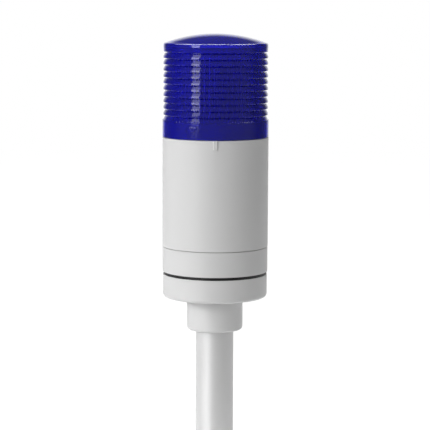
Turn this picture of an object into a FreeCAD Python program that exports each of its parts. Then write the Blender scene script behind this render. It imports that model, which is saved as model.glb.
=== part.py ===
import FreeCAD, Part
import math
import os

import Sketcher

# Stack light: one blue light unit on a housing, which a pole base holds on a pole.
# Sizes are in mm. +Z is up, the origin is the centre of the pole's lower end, and the front
# faces -Y. Each size below is a cell of the sheet, and every piece is bound to those cells.

SIZES = {
    # pole, with a turned spigot at its upper end
    "pole_length": 120.0,
    "pole_radius": 10.0,
    "pole_wall": 1.5,
    "spigot_length": 15.0,
    "spigot_step": 0.5,
    # pole base: a boss with the socket for the pole, under a dish
    "socket_gap": 0.05,
    "socket_end_gap": 0.3,
    "boss_height": 17.6,
    "boss_radius": 14.8,
    "boss_edge": 1.6,
    "dish_height": 12.3,
    "dish_inset": 0.25,
    "dish_edge": 2.1,
    "dish_wall": 3.2,
    "dish_floor": 2.9,
    "wire_hole_radius": 7.5,
    "set_screw_radius": 2.0,
    "set_screw_sink": 0.65,
    "set_screw_height": 8.5,
    "set_screw_key": 2.0,
    "set_screw_key_depth": 2.3,
    # screws that join the base to the lower housing
    "screw_radius": 1.5,
    "screw_gap": 0.2,
    "thread_gap": 0.05,
    "head_radius": 2.8,
    "head_height": 2.0,
    "head_slot": 0.8,
    "head_slot_depth": 1.0,
    "counterbore_radius": 3.1,
    "counterbore_depth": 3.4,
    "screw_engagement": 5.5,
    "base_boss_height": 8.0,
    "base_thread_depth": 7.0,
    "screw_inset": 4.85,
    "pillar_width": 8.4,
    # gasket between the pole base and the lower housing
    "gasket_thickness": 1.6,
    "gasket_inset": 0.4,
    "gasket_width": 3.0,
    # lower housing: a ring with a floor and a spigot that goes up into the housing
    "ring_height": 13.0,
    "ring_inset": 0.1,
    "ring_floor": 2.5,
    "floor_hole_radius": 7.5,
    "lip_height": 5.0,
    "lip_wall": 2.0,
    "lip_gap": 0.15,
    "seam_gap": 0.3,
    "catch_count": 3,
    "catch_angle": 24.0,
    "catch_height": 1.4,
    "catch_depth": 0.5,
    "catch_drop": 1.6,
    "catch_gap": 0.2,
    # housing: a tube, closed by a deck under the neck that takes the lens
    "housing_height": 57.6,
    "housing_radius": 27.9,
    "housing_wall": 2.2,
    "deck_thickness": 2.5,
    "neck_height": 8.0,
    "neck_wall": 2.6,
    "index_width": 1.8,
    "index_length": 5.0,
    "index_height": 0.6,
    "index_root": 1.1,
    # bayonet: lugs in the lens that run in slots of the neck
    "lug_count": 3,
    "lug_depth": 1.3,
    "lug_height": 1.8,
    "lug_angle": 10.0,
    "lug_level": 3.6,
    "lug_gap": 0.3,
    "slot_margin": 1.5,
    "twist_angle": 18.0,
    # lens: flange, ring fins outside, upright flutes inside, shallow dome
    "lens_gap": 0.3,
    "flange_height": 9.1,
    "flange_proud": 0.05,
    "flange_wall": 2.35,
    "fin_inset": 0.55,
    "fin_depth": 1.7,
    "fin_pitch": 3.3,
    "fin_slope_height": 2.1,
    "fin_slot_rise": 0.35,
    "groove_count": 11,
    "rim_height": 4.8,
    "rim_edge": 0.55,
    "dome_inset": 0.6,
    "dome_rise": 4.0,
    "crown_wall": 2.6,
    "flute_count": 60,
    "flute_wall": 1.8,
    "flute_depth": 0.6,
    "flute_half_width": 1.2,
    "flute_stop": 4.4,
    # raised arrowhead on the flange, which points to the housing
    "arrow_turn": 25.0,
    "arrow_width": 4.6,
    "arrow_length": 4.0,
    "arrow_height": 0.4,
    "arrow_root": 0.8,
    # light source: a white post with a foot, four boards and their chips
    "foot_length": 34.0,
    "foot_width": 18.0,
    "foot_thickness": 3.0,
    "post_width": 12.8,
    "post_wall": 1.6,
    "post_clearance": 9.6,
    "board_thickness": 1.6,
    "led_board_inset": 0.2,
    "led_board_margin": 1.0,
    "chip_width": 5.0,
    "chip_height": 1.6,
    "chip_count": 3,
    "chip_spacing": 10.5,
    "clip_inset": 3.5,
    "clip_width": 5.0,
    "clip_thickness": 1.6,
    "clip_hook": 0.9,
    "clip_hook_height": 2.4,
    "clip_gap": 0.2,
    # plug under the foot, and the socket on the main board that takes it
    "pin_count": 4,
    "pin_pitch": 2.54,
    "pin_width": 0.7,
    "pin_length": 10.0,
    "pin_gap": 0.15,
    "plug_opening_margin": 1.0,
    "socket_side": 0.92,
    "socket_thickness": 4.5,
    "socket_height": 9.0,
    "socket_above_board": 3.0,
    "deck_to_board": 4.0,
    # main board, upright between rails of the housing
    "main_board_gap": 1.2,
    "rail_gap": 0.15,
    "rail_thickness": 1.5,
    "rail_overlap": 2.2,
    "input_capacitor_radius": 5.0,
    "input_capacitor_length": 14.0,
    "filter_capacitor_radius": 4.0,
    "filter_capacitor_length": 11.0,
    "choke_width": 9.0,
    "choke_corner": 1.8,
    "choke_length": 6.0,
    "driver_chip_width": 6.0,
    "driver_chip_length": 5.0,
    "driver_chip_height": 1.6,
    "part_column": 10.0,
    "upper_part_row": 30.0,
    "lower_part_row": 12.0,
    # terminal block on the floor of the lower housing
    "terminal_count": 2,
    "terminal_pitch": 5.6,
    "terminal_block_depth": 8.5,
    "terminal_block_height": 10.0,
    "terminal_block_place": 8.5,
    "terminal_well_radius": 2.1,
    "terminal_well_depth": 3.0,
    "terminal_screw_gap": 0.2,
    "terminal_screw_height": 2.0,
    "terminal_slot_depth": 1.0,
    "terminal_port_width": 3.4,
    "terminal_port_depth": 6.0,
    "terminal_port_lift": 1.8,
}

document = FreeCAD.newDocument("stack_light")
sheet = document.addObject("Spreadsheet::Sheet", "sizes")
for row, (alias, number) in enumerate(SIZES.items(), start=1):
    sheet.set(f"A{row}", alias)
    sheet.set(f"B{row}", str(number))
    sheet.setAlias(f"B{row}", alias)
document.recompute()


class Size:
    """A length, angle or count that carries its value and its formula in the sheet."""

    def __init__(self, value, formula):
        self.value = value
        self.formula = formula

    def __add__(self, other):
        other = as_size(other)
        return Size(self.value + other.value, f"({self.formula} + {other.formula})")

    def __radd__(self, other):
        return as_size(other) + self

    def __sub__(self, other):
        other = as_size(other)
        return Size(self.value - other.value, f"({self.formula} - {other.formula})")

    def __rsub__(self, other):
        return as_size(other) - self

    def __mul__(self, other):
        other = as_size(other)
        return Size(self.value * other.value, f"({self.formula} * {other.formula})")

    def __rmul__(self, other):
        return as_size(other) * self

    def __truediv__(self, other):
        other = as_size(other)
        return Size(self.value / other.value, f"({self.formula} / {other.formula})")

    def __neg__(self):
        return Size(-self.value, f"(0 - {self.formula})")


def as_size(item):
    """A plain number as a Size, so that both can stand in one formula."""
    return item if isinstance(item, Size) else Size(item, str(item))


def size(alias):
    """The Size of one cell of the sheet."""
    return Size(SIZES[alias], f"sizes.{alias}")


def sine(angle):
    """The sine of an angle in degrees."""
    return Size(math.sin(math.radians(angle.value)), f"sin({angle.formula} * 1 deg)")


def cosine(angle):
    """The cosine of an angle in degrees."""
    return Size(math.cos(math.radians(angle.value)), f"cos({angle.formula} * 1 deg)")


def piece(label):
    """A new body whose label is the name of the piece."""
    body = document.addObject("PartDesign::Body", label)
    body.Label = label
    return body


def origin_plane(body, role):
    """One of the body's own origin planes or axes."""
    return next(item for item in body.Origin.OriginFeatures if item.Role == role)


def new_sketch(body, name, plane, along=0, out=0, turn=0):
    """A sketch on an origin plane of the body, moved along its first axis and out along its
    normal, after it has been turned about its upright axis."""
    sketch = body.newObject("Sketcher::SketchObject", name)
    sketch.AttachmentSupport = (origin_plane(body, plane), [""])
    sketch.MapMode = "FlatFace"
    along, out, turn = as_size(along), as_size(out), as_size(turn)
    if turn.value:
        upright = FreeCAD.Vector(0, 1, 0)
        turned = FreeCAD.Rotation(upright, turn.value)
        sketch.AttachmentOffset = FreeCAD.Placement(FreeCAD.Vector(0, 0, 0), turned)
        sketch.setExpression("AttachmentOffset.Rotation.Angle", turn.formula)
        along, out = (
            along * cosine(turn) + out * sine(turn),
            out * cosine(turn) - along * sine(turn),
        )
    sketch.setExpression("AttachmentOffset.Base.x", along.formula)
    sketch.setExpression("AttachmentOffset.Base.z", out.formula)
    return sketch


def hold(sketch, curve, point, across, up):
    """Fix a point of a sketch by its two distances from the sketch's origin."""
    for kind, axis, distance in (("DistanceX", -2, across), ("DistanceY", -1, up)):
        if not as_size(distance).value:
            sketch.addConstraint(Sketcher.Constraint("PointOnObject", curve, point, axis))
            continue
        distance = as_size(distance)
        rule = Sketcher.Constraint(kind, -1, 1, curve, point, distance.value)
        index = sketch.addConstraint(rule)
        sketch.setExpression(f"Constraints[{index}]", distance.formula)


def arc_between(start, end, radius):
    """The short arc from one point to another: a positive radius turns left, a negative right."""
    middle = (start + end) * 0.5
    chord = end - start
    left = FreeCAD.Vector(-chord.y, chord.x, 0).normalize()
    height = math.sqrt(max(radius * radius - chord.Length * chord.Length / 4, 0))
    centre = middle + left * math.copysign(height, radius)
    first, last = (start, end) if radius > 0 else (end, start)
    circle = Part.Circle(centre, FreeCAD.Vector(0, 0, 1), abs(radius))
    return Part.ArcOfCircle(circle, circle.parameter(first), circle.parameter(last))


def add_loop(sketch, corners):
    """Draw a closed outline. Each corner is (across, up), and a third item on it is the radius
    of the arc that leads from it to the next corner."""
    spots = [FreeCAD.Vector(as_size(c[0]).value, as_size(c[1]).value, 0) for c in corners]
    curves = []
    for number, corner in enumerate(corners):
        start, end = spots[number], spots[(number + 1) % len(corners)]
        if len(corner) == 3:
            index = sketch.addGeometry(arc_between(start, end, corner[2].value))
            rule = Sketcher.Constraint("Radius", index, abs(corner[2].value))
            rule = sketch.addConstraint(rule)
            sketch.setExpression(f"Constraints[{rule}]", f"abs({corner[2].formula})")
            first, last = (1, 2) if corner[2].value > 0 else (2, 1)
        else:
            index = sketch.addGeometry(Part.LineSegment(start, end))
            first, last = 1, 2
        curves.append((index, first, last))
    for number, (index, first, _) in enumerate(curves):
        before, _, last = curves[number - 1]
        sketch.addConstraint(Sketcher.Constraint("Coincident", before, last, index, first))
        hold(sketch, index, first, corners[number][0], corners[number][1])


def outline(body, name, corners, plane="XZ_Plane", **place):
    """A sketch of one closed outline."""
    sketch = new_sketch(body, name, plane, **place)
    add_loop(sketch, corners)
    return sketch


def circles(body, name, centre, radii, plane="XY_Plane", **place):
    """A sketch of circles about one centre."""
    sketch = new_sketch(body, name, plane, **place)
    for radius in radii:
        spot = FreeCAD.Vector(as_size(centre[0]).value, as_size(centre[1]).value, 0)
        circle = Part.Circle(spot, FreeCAD.Vector(0, 0, 1), radius.value)
        index = sketch.addGeometry(circle)
        hold(sketch, index, 3, *centre)
        rule = sketch.addConstraint(Sketcher.Constraint("Radius", index, radius.value))
        sketch.setExpression(f"Constraints[{rule}]", radius.formula)
    return sketch


def rectangle(left, right, low, high):
    """The corners of an upright rectangle."""
    return [(left, low), (right, low), (right, high), (left, high)]


def centred(width, low, high):
    """The corners of a rectangle that is centred across."""
    return rectangle(-(width / 2), width / 2, low, high)


def add_feature(body, kind, name, profile):
    """A feature made from a sketch. It becomes the body's tip."""
    document.recompute()
    feature = body.newObject(f"PartDesign::{kind}", name)
    feature.Profile = profile
    body.Tip = feature
    return feature


def checked(feature, adds):
    """Recompute a feature and make sure that it added to its body, or cut from it."""
    document.recompute()
    before = feature.BaseFeature.Shape.Volume if feature.BaseFeature else 0.0
    change = feature.Shape.Volume - before
    if (change > 0) != adds:
        raise ValueError(f"{feature.Name} changes its body by {change:.3f} mm3")
    return feature


def spin(body, kind, name, profile, angle=None):
    """Turn a sketch about its upright axis, all the way or by an angle to both sides of it."""
    feature = add_feature(body, kind, name, profile)
    feature.ReferenceAxis = (profile, ["V_Axis"])
    feature.Angle = 360
    if angle:
        feature.Midplane = True
        feature.setExpression("Angle", angle.formula)
    return checked(feature, adds=kind == "Revolution")


def turned(body, name, corners, angle=None, **place):
    """A turned solid."""
    return spin(body, "Revolution", name, outline(body, f"{name}_profile", corners, **place), angle)


def turned_out(body, name, corners, angle=None, **place):
    """A turned cut."""
    return spin(body, "Groove", name, outline(body, f"{name}_profile", corners, **place), angle)


def pad(body, name, profile, length, back=False):
    """A solid along the sketch's normal, or against it."""
    feature = add_feature(body, "Pad", name, profile)
    feature.Reversed = back
    feature.setExpression("Length", as_size(length).formula)
    return checked(feature, adds=True)


def pocket(body, name, profile, length, back=False):
    """A cut against the sketch's normal, or along it."""
    feature = add_feature(body, "Pocket", name, profile)
    feature.Reversed = back
    feature.setExpression("Length", as_size(length).formula)
    return checked(feature, adds=False)


def around(body, name, features, count):
    """Repeat features round the body's upright axis."""
    pattern = body.newObject("PartDesign::PolarPattern", name)
    pattern.Originals = features
    pattern.Axis = (origin_plane(body, "Z_Axis"), [""])
    pattern.Angle = 360
    pattern.setExpression("Occurrences", as_size(count).formula)
    body.Tip = pattern
    document.recompute()
    return pattern


def in_row(body, name, features, axis, count, spacing):
    """Repeat features along one of the body's origin axes."""
    pattern = body.newObject("PartDesign::LinearPattern", name)
    pattern.Originals = features
    pattern.Direction = (origin_plane(body, axis), [""])
    pattern.Mode = "Spacing"
    pattern.setExpression("Occurrences", as_size(count).formula)
    pattern.setExpression("Offset", as_size(spacing).formula)
    body.Tip = pattern
    document.recompute()
    return pattern


# Levels, from the pole's foot to the top of the lens.
SCREWS_ROUND = 3  # screws stand at every third of a turn
CATCH_TURN = 90  # the first catch, in degrees from +X, midway between two base screws
pole_top = size("pole_length")
boss_bottom = pole_top - size("spigot_length")
dish_bottom = boss_bottom + size("boss_height")
socket_top = pole_top + size("socket_end_gap")
set_screw_level = boss_bottom + size("set_screw_height")
dish_floor_top = dish_bottom + size("dish_floor")
dish_top = dish_bottom + size("dish_height")
ring_bottom = dish_top + size("gasket_thickness")
ring_floor_top = ring_bottom + size("ring_floor")
seam = ring_bottom + size("ring_height")
lip_top = seam + size("lip_height")
housing_bottom = seam + size("seam_gap")
shoulder = housing_bottom + size("housing_height")
deck_bottom = shoulder - size("deck_thickness")
neck_top = shoulder + size("neck_height")
lens_bottom = shoulder + size("lens_gap")
flange_top = lens_bottom + size("flange_height")
lug_bottom = lens_bottom + size("lug_level")
first_root = flange_top + size("fin_slope_height")
last_root = first_root + size("fin_pitch") * (size("groove_count") - 1)
rim_bottom = last_root + size("fin_slot_rise")
rim_top = rim_bottom + size("rim_height")
dome_edge = rim_top + size("rim_edge")
ceiling = dome_edge - size("crown_wall")
lens_ledge = neck_top + size("lug_gap")
foot_top = shoulder + size("foot_thickness")
post_top = ceiling - size("post_clearance")
post_height = post_top - foot_top
screw_seat = dish_bottom + size("counterbore_depth")
screw_end = ring_bottom + size("screw_engagement")

# Radii and half widths that pieces share. Outside, each radius is a small step from the housing's.
ring_radius = size("housing_radius") - size("ring_inset")
dish_radius = ring_radius - size("dish_inset")
flange_radius = size("housing_radius") + size("flange_proud")
fin_tip_radius = flange_radius - size("fin_inset")
fin_root_radius = fin_tip_radius - size("fin_depth")
dome_radius = fin_tip_radius - size("dome_inset")
flute_ridge_radius = fin_root_radius - size("flute_wall")
spigot_radius = size("pole_radius") - size("spigot_step")
pole_bore_radius = size("pole_radius") - size("pole_wall")
socket_radius = spigot_radius + size("socket_gap")
set_screw_tip = spigot_radius + size("thread_gap")
set_screw_length = size("boss_radius") - size("set_screw_sink") - set_screw_tip
dish_inner_radius = dish_radius - size("dish_wall")
screw_pitch = dish_inner_radius - size("screw_inset")
housing_inner_radius = size("housing_radius") - size("housing_wall")
lip_radius = housing_inner_radius - size("lip_gap")
lip_inner_radius = lip_radius - size("lip_wall")
flange_inner_radius = flange_radius - size("flange_wall")
lug_inner_radius = flange_inner_radius - size("lug_depth")
neck_radius = flange_inner_radius - size("lug_gap")
neck_inner_radius = neck_radius - size("neck_wall")
post_half = size("post_width") / 2
led_board_half = post_half - size("led_board_inset")
clip_place = size("foot_length") / 2 - size("clip_inset")
pin_row = size("pin_pitch") * size("pin_count")
main_board_half = housing_inner_radius - size("main_board_gap")
board_face = size("socket_thickness") / 2
board_back = board_face + size("board_thickness")
main_board_top = deck_bottom - size("deck_to_board")
catch_bottom = lip_top - size("catch_drop") - size("catch_height")


def make_pole():
    """An aluminium tube. Its upper end is turned down, so the step stops it at the boss."""
    body = piece("pole")
    turned(body, "tube", [
        (pole_bore_radius, 0),
        (size("pole_radius"), 0),
        (size("pole_radius"), boss_bottom),
        (spigot_radius, boss_bottom),
        (spigot_radius, pole_top),
        (pole_bore_radius, pole_top),
    ])


def pillar_corners():
    """The corners of the square pillar round the front screw."""
    half = size("pillar_width") / 2
    return rectangle(-half, half, -screw_pitch - half, -screw_pitch + half)


def rounded_edge(radius, level, edge):
    """The corners of a lower edge whose rounding is drawn as two flats."""
    share = sine(as_size(45))
    return [(radius - edge, level),
            (radius - edge + edge * share, level + edge - edge * share),
            (radius, level + edge)]


def make_pole_base():
    """One moulding: a boss that takes the pole, and a dish with pillars for the screws."""
    body = piece("pole_base")
    turned(body, "dish_and_boss", [
        (socket_radius, boss_bottom),
        *rounded_edge(size("boss_radius"), boss_bottom, size("boss_edge")),
        (size("boss_radius"), dish_bottom),
        *rounded_edge(dish_radius, dish_bottom, size("dish_edge")),
        (dish_radius, dish_top),
        (dish_inner_radius, dish_top),
        (dish_inner_radius, dish_floor_top),
        (size("wire_hole_radius"), dish_floor_top),
        (size("wire_hole_radius"), socket_top),
        (socket_radius, socket_top),
    ])
    front = (0, -screw_pitch)
    pillar = outline(body, "pillar_outline", pillar_corners(), plane="XY_Plane",
                     out=dish_floor_top)
    pillar = pad(body, "pillar", pillar, ring_bottom - dish_floor_top)
    around(body, "pillars", [pillar], SCREWS_ROUND)
    hole = circles(body, "screw_hole_outline", front, [size("screw_radius") + size("screw_gap")],
                   out=ring_bottom)
    hole = pocket(body, "screw_hole", hole, ring_bottom - dish_bottom)
    recess = circles(body, "head_recess_outline", front, [size("counterbore_radius")],
                     out=dish_bottom)
    recess = pocket(body, "head_recess", recess, size("counterbore_depth"), back=True)
    around(body, "screw_holes", [hole, recess], SCREWS_ROUND)
    thread = circles(body, "set_screw_outline", (0, set_screw_level),
                     [size("set_screw_radius")], plane="XZ_Plane")
    pocket(body, "set_screw_hole", thread, size("boss_radius"))


def make_set_screw():
    """A grub screw with a hexagon socket, at the back of the boss."""
    body = piece("pole_set_screw")
    round_bar = circles(body, "bar_outline", (0, set_screw_level),
                        [size("set_screw_radius") - size("thread_gap")],
                        plane="XZ_Plane", out=-set_screw_tip)
    pad(body, "bar", round_bar, set_screw_length, back=True)
    half, reach = size("set_screw_key") / 2, size("set_screw_key") / math.sqrt(3)
    low, high = set_screw_level - half, set_screw_level + half
    key = outline(body, "key_outline", [
        (reach, set_screw_level), (reach / 2, high), (-(reach / 2), high),
        (-reach, set_screw_level), (-(reach / 2), low), (reach / 2, low),
    ], out=-(set_screw_tip + set_screw_length))
    pocket(body, "key_socket", key, size("set_screw_key_depth"), back=True)


def make_gasket():
    """A flat rubber ring on the rim of the dish, set back a little from both walls."""
    body = piece("gasket")
    outer = dish_radius - size("gasket_inset")
    ring = circles(body, "ring_outline", (0, 0), [outer, outer - size("gasket_width")],
                   out=dish_top)
    pad(body, "ring", ring, size("gasket_thickness"))


def make_lower_housing():
    """One moulding: ring, floor and lip, with catches on the lip and bosses for the screws."""
    body = piece("lower_housing")
    turned(body, "ring", [
        (size("floor_hole_radius"), ring_bottom),
        (ring_radius, ring_bottom),
        (ring_radius, seam),
        (lip_radius, seam),
        (lip_radius, lip_top),
        (lip_inner_radius, lip_top),
        (lip_inner_radius, ring_floor_top),
        (size("floor_hole_radius"), ring_floor_top),
    ])
    catch = turned(body, "catch",
                   rectangle(lip_inner_radius, lip_radius + size("catch_depth"),
                             catch_bottom, catch_bottom + size("catch_height")),
                   angle=size("catch_angle"), turn=CATCH_TURN)
    around(body, "catches", [catch], size("catch_count"))
    front = (0, -screw_pitch)
    boss_top = ring_bottom + size("base_boss_height")
    boss = outline(body, "base_boss_outline", pillar_corners(), plane="XY_Plane",
                   out=ring_floor_top)
    boss = pad(body, "base_boss", boss, boss_top - ring_floor_top)
    around(body, "base_bosses", [boss], SCREWS_ROUND)
    thread = circles(body, "base_thread_outline", front,
                     [size("screw_radius") + size("thread_gap")], out=ring_bottom)
    thread = pocket(body, "base_thread", thread, size("base_thread_depth"), back=True)
    around(body, "base_threads", [thread], SCREWS_ROUND)


def make_base_screws():
    """Three screws that point up from their seats in the dish, with slotted cheese heads."""
    body = piece("base_screws")
    head_bottom = screw_seat - size("head_height")
    screw = turned(body, "screw", [
        (0, head_bottom),
        (size("head_radius"), head_bottom),
        (size("head_radius"), screw_seat),
        (size("screw_radius"), screw_seat),
        (size("screw_radius"), screw_end),
        (0, screw_end),
    ], plane="YZ_Plane", along=-screw_pitch)
    half_slot = size("head_slot") / 2
    near, far = size("head_radius") - screw_pitch, -size("head_radius") - screw_pitch
    slot = outline(body, "slot_outline", rectangle(-half_slot, half_slot, far, near),
                   plane="XY_Plane", out=head_bottom)
    slot = pocket(body, "slot", slot, size("head_slot_depth"), back=True)
    around(body, "screws", [screw, slot], SCREWS_ROUND)


def make_housing():
    """One moulding: a tube, its deck, the neck with bayonet slots, and rails inside."""
    body = piece("housing")
    turned(body, "tube_and_neck", [
        (housing_inner_radius, housing_bottom),
        (size("housing_radius"), housing_bottom),
        (size("housing_radius"), shoulder),
        (neck_radius, shoulder),
        (neck_radius, neck_top),
        (neck_inner_radius, neck_top),
        (neck_inner_radius, shoulder),
        (0, shoulder),
        (0, deck_bottom),
        (housing_inner_radius, deck_bottom),
    ])
    # each slot has a run in which the lug turns, and a mouth through which it leaves
    gap_angle = size("slot_margin")
    run_low = lug_bottom - size("lug_gap")
    run_high = lug_bottom + size("lug_height") + size("lug_gap")
    slot_floor = lug_inner_radius - size("lug_gap")
    beyond = neck_radius + size("neck_wall")
    run = turned_out(body, "slot_run", rectangle(slot_floor, beyond, run_low, run_high),
                     angle=size("twist_angle") + size("lug_angle") + gap_angle * 2,
                     turn=size("twist_angle") / 2)
    mouth = turned_out(body, "slot_mouth",
                       rectangle(slot_floor, beyond, run_low, neck_top + size("lug_gap")),
                       angle=size("lug_angle") + gap_angle * 2, turn=size("twist_angle"))
    around(body, "slots", [run, mouth], size("lug_count"))
    pocket_gap = size("catch_gap")
    recess = turned_out(body, "catch_recess",
                        rectangle(lip_inner_radius,
                                  lip_radius + size("catch_depth") + pocket_gap,
                                  catch_bottom - pocket_gap,
                                  catch_bottom + size("catch_height") + pocket_gap),
                        angle=size("catch_angle") + size("slot_margin") * 2, turn=CATCH_TURN)
    around(body, "catch_recesses", [recess], size("catch_count"))
    make_rails(body)
    make_deck_openings(body)
    make_index_rib(body)


def make_rails(body):
    """Four ribs in the housing, in pairs that hold the edges of the main board. Their lower
    ends stand on the lip and keep the seam open."""
    inner = main_board_half - size("rail_overlap")
    outer = housing_inner_radius
    front = board_face - size("rail_gap")
    back = board_back + size("rail_gap")
    sketch = new_sketch(body, "rail_outline", "XY_Plane", out=lip_top)
    for left, right in ((inner, outer), (-outer, -inner)):
        add_loop(sketch, rectangle(left, right, front - size("rail_thickness"), front))
        add_loop(sketch, rectangle(left, right, back, back + size("rail_thickness")))
    pad(body, "rails", sketch, deck_bottom - lip_top)


def make_deck_openings(body):
    """Openings in the deck for the carrier's two clips and for its pins."""
    sketch = new_sketch(body, "deck_openings_outline", "XY_Plane", out=shoulder)
    half_clip = size("clip_width") / 2 + size("clip_gap")
    inner = clip_place - size("clip_gap")
    outer = clip_place + size("clip_thickness") + size("clip_gap")
    add_loop(sketch, rectangle(inner, outer, -half_clip, half_clip))
    add_loop(sketch, rectangle(-outer, -inner, -half_clip, half_clip))
    half = size("pin_width") / 2 + size("plug_opening_margin")
    add_loop(sketch, centred(pin_row, -half, half))
    pocket(body, "deck_openings", sketch, size("deck_thickness"))


def make_index_rib(body):
    """A short raised rib with a round lower end, on the front under the lens."""
    half = size("index_width") / 2
    low = shoulder - size("index_length")
    rib = outline(body, "index_outline", [
        (-half, shoulder), (-half, low + half, half), (0, low, half), (half, low + half),
        (half, shoulder),
    ], out=size("housing_radius") - size("index_root"))
    pad(body, "index_rib", rib, size("index_root") + size("index_height"))


def make_lens():
    """One clear moulding: flange, ring fins outside, upright flutes inside and a dome. A small
    raised arrowhead on the flange points down."""
    body = piece("lens_globe")
    rise = size("dome_rise")
    dome_curve = (dome_radius * dome_radius + rise * rise) / (rise * 2)
    flute_top = ceiling - size("flute_stop")
    turned(body, "globe", [
        (flange_inner_radius, lens_bottom),
        (flange_radius, lens_bottom),
        (flange_radius, flange_top),
        (fin_tip_radius, flange_top),
        (fin_tip_radius, rim_top),
        (dome_radius, dome_edge, dome_curve),
        (0, dome_edge + rise),
        (0, ceiling),
        (flute_ridge_radius, ceiling),
        (flute_ridge_radius, lens_ledge),
        (flange_inner_radius, lens_ledge),
    ])
    near = flute_ridge_radius - size("flute_depth")
    flute = outline(body, "flute_outline", [
        (near, -size("flute_half_width")),
        (flute_ridge_radius + size("flute_depth"), 0),
        (near, size("flute_half_width")),
    ], plane="XY_Plane", out=flute_top)
    flute = pocket(body, "flute", flute, flute_top - lens_ledge)
    around(body, "flutes", [flute], size("flute_count"))
    beyond = flange_radius + size("lug_gap")
    groove = turned_out(body, "ring_groove", [
        (fin_tip_radius, first_root - size("fin_slope_height")),
        (fin_root_radius, first_root),
        (fin_tip_radius, first_root + size("fin_slot_rise")),
        (beyond, first_root + size("fin_slot_rise")),
        (beyond, first_root - size("fin_slope_height")),
    ])
    in_row(body, "ring_grooves", [groove], "Z_Axis", size("groove_count"), size("fin_pitch"))
    lug = turned(body, "lug",
                 rectangle(lug_inner_radius, (flange_inner_radius + flange_radius) / 2,
                           lug_bottom, lug_bottom + size("lug_height")),
                 angle=size("lug_angle"))
    around(body, "lugs", [lug], size("lug_count"))
    half, middle = size("arrow_width") / 2, (lens_bottom + flange_top) / 2
    low, high = middle - size("arrow_length") / 2, middle + size("arrow_length") / 2
    arrow = outline(body, "arrow_outline", [(0, low), (half, high), (-half, high)],
                    out=flange_radius - size("arrow_root"), turn=-size("arrow_turn"))
    pad(body, "arrow", arrow, size("arrow_root") + size("arrow_height"))


def make_led_carrier():
    """One white moulding: a foot and a hollow square post that is closed at the top."""
    body = piece("led_carrier")
    half_foot = size("foot_width") / 2
    foot = outline(body, "foot_outline", centred(size("foot_length"), -half_foot, half_foot),
                   plane="XY_Plane", out=shoulder)
    pad(body, "foot", foot, size("foot_thickness"))
    post = outline(body, "post_outline", centred(size("post_width"), -post_half, post_half),
                   plane="XY_Plane", out=foot_top)
    pad(body, "post", post, post_height)
    half_bore = post_half - size("post_wall")
    bore = outline(body, "post_bore_outline", centred(half_bore * 2, -half_bore, half_bore),
                   plane="XY_Plane", out=foot_top)
    pocket(body, "post_bore", bore, post_height - size("post_wall"), back=True)
    make_clips(body)


def make_clips(body):
    """Two legs under the foot that spring through the deck and hook under it."""
    outer = clip_place + size("clip_thickness")
    low = deck_bottom - size("clip_gap") - size("clip_hook_height")
    sketch = new_sketch(body, "clip_outline", "XZ_Plane", out=-(size("clip_width") / 2))
    for side in (1, -1):
        corners = [
            (clip_place, low),
            (outer, low),
            (outer + size("clip_hook"), deck_bottom - size("clip_gap")),
            (outer, deck_bottom - size("clip_gap")),
            (outer, foot_top),
            (clip_place, foot_top),
        ]
        add_loop(sketch, [(across * side, up) for across, up in corners])
    pad(body, "clips", sketch, size("clip_width"))


def make_led_board(number):
    """A circuit board on one side of the post."""
    body = piece(f"led_board_{number}")
    board = outline(body, "board_outline",
                    rectangle(post_half, post_half + size("board_thickness"),
                              -led_board_half, led_board_half),
                    plane="XY_Plane", out=foot_top + size("led_board_margin"))
    pad(body, "board", board, post_height - size("led_board_margin") * 2)
    turn_to_side(body, number)


def make_led_chips(number):
    """The light-emitting chips of one board, in a column."""
    body = piece(f"led_chips_{number}")
    half = size("chip_width") / 2
    middle = (foot_top + post_top) / 2
    lowest = middle - size("chip_spacing") * (size("chip_count") - 1) / 2
    chip = outline(body, "chip_outline", centred(size("chip_width"), lowest - half, lowest + half),
                   plane="YZ_Plane", out=post_half + size("board_thickness"))
    chip = pad(body, "chip", chip, size("chip_height"))
    in_row(body, "chips", [chip], "Z_Axis", size("chip_count"), size("chip_spacing"))
    turn_to_side(body, number)


def turn_to_side(body, number):
    """Turn a piece that is drawn on the +X side to one of the post's four sides."""
    upright = FreeCAD.Vector(0, 0, 1)
    body.Placement = FreeCAD.Placement(FreeCAD.Vector(0, 0, 0), upright, 90 * (number - 1))


def make_plug_pins():
    """Contact pins under the foot, in a row along X."""
    body = piece("plug_pins")
    half = size("pin_width") / 2
    left = -(size("pin_pitch") * (size("pin_count") - 1) / 2)
    pin = outline(body, "pin_outline", rectangle(left - half, left + half, -half, half),
                  plane="XY_Plane", out=shoulder)
    pin = pad(body, "pin", pin, size("pin_length"), back=True)
    in_row(body, "pins", [pin], "X_Axis", size("pin_count"), size("pin_pitch"))


def make_pin_socket():
    """The socket at the top of the main board, with one square hole for each pin."""
    body = piece("pin_socket")
    half = size("socket_thickness") / 2
    top = main_board_top + size("socket_above_board")
    width = pin_row + size("socket_side") * 2
    block = outline(body, "block_outline", centred(width, -half, half),
                    plane="XY_Plane", out=top)
    pad(body, "block", block, size("socket_height"), back=True)
    half_hole = size("pin_width") / 2 + size("pin_gap")
    left = -(size("pin_pitch") * (size("pin_count") - 1) / 2)
    hole = outline(body, "hole_outline",
                   rectangle(left - half_hole, left + half_hole, -half_hole, half_hole),
                   plane="XY_Plane", out=top)
    hole = pocket(body, "hole", hole, size("socket_height"))
    in_row(body, "holes", [hole], "X_Axis", size("pin_count"), size("pin_pitch"))


def make_main_board():
    """The power circuit board. It stands on the lip, between the housing's rails."""
    body = piece("main_board")
    board = outline(body, "board_outline",
                    rectangle(-main_board_half, main_board_half, lip_top, main_board_top),
                    out=-board_back)
    pad(body, "board", board, size("board_thickness"))


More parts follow.
